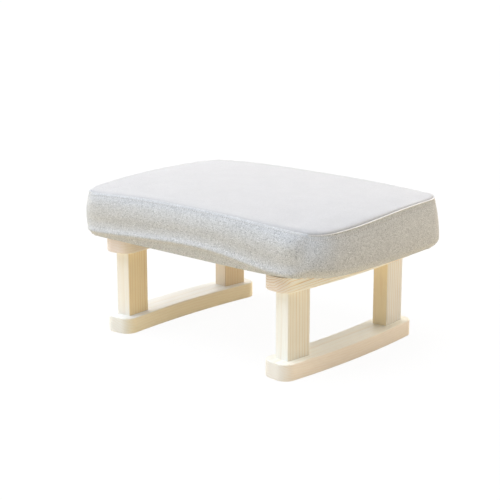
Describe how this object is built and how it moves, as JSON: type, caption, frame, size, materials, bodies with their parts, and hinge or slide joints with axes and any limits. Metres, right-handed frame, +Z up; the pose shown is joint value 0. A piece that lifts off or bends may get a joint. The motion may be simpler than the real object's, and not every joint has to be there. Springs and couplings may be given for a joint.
{
  "type": "kneeling bench",
  "caption": "Low padded kneeling bench: a fabric-covered seat on two bowed pine trestles with rounded foot rails.",
  "frame": {"origin": "on the floor under the middle of the seat", "axes": "+X along the seat's length to the right, +Y across the seat to the rear, +Z up"},
  "size_m": [0.3998, 0.265, 0.1827],
  "materials": {
    "pine_rails": "clear satin lacquer over pale pine",
    "pine_posts": "clear satin lacquer over pale pine",
    "plywood": "raw poplar plywood",
    "seat_fabric_top": "heathered pale grey linen-look weave",
    "seat_fabric_band": "heathered pale grey linen-look weave",
    "foam": "open-cell seat foam, matt",
    "dust_cover": "black spun-bonded cloth, matt",
    "hardwood_dowel": "fluteless beech dowel, raw",
    "zinc_steel": "zinc plated, satin",
    "staple_steel": "galvanised wire, satin"
  },
  "bodies": {
    "root": {"seat_board": "plywood", "foam_pad": "foam", "cover_top_panel": "seat_fabric_top", "cover_side_band": "seat_fabric_band", "dust_cover": "dust_cover", "cover_staples": "staple_steel", "dust_cover_staples": "staple_steel", "left_top_rail": "pine_rails", "left_foot_rail": "pine_rails", "left_front_post": "pine_posts", "left_rear_post": "pine_posts", "left_post_dowels": "hardwood_dowel", "left_foot_screws": "zinc_steel", "left_top_rail_screws": "zinc_steel", "left_seat_bolts": "zinc_steel", "left_bolt_washers": "zinc_steel", "left_tee_nuts": "zinc_steel", "right_top_rail": "pine_rails", "right_foot_rail": "pine_rails", "right_front_post": "pine_posts", "right_rear_post": "pine_posts", "right_post_dowels": "hardwood_dowel", "right_foot_screws": "zinc_steel", "right_top_rail_screws": "zinc_steel", "right_seat_bolts": "zinc_steel", "right_bolt_washers": "zinc_steel", "right_tee_nuts": "zinc_steel"}
  },
  "joints": []
}
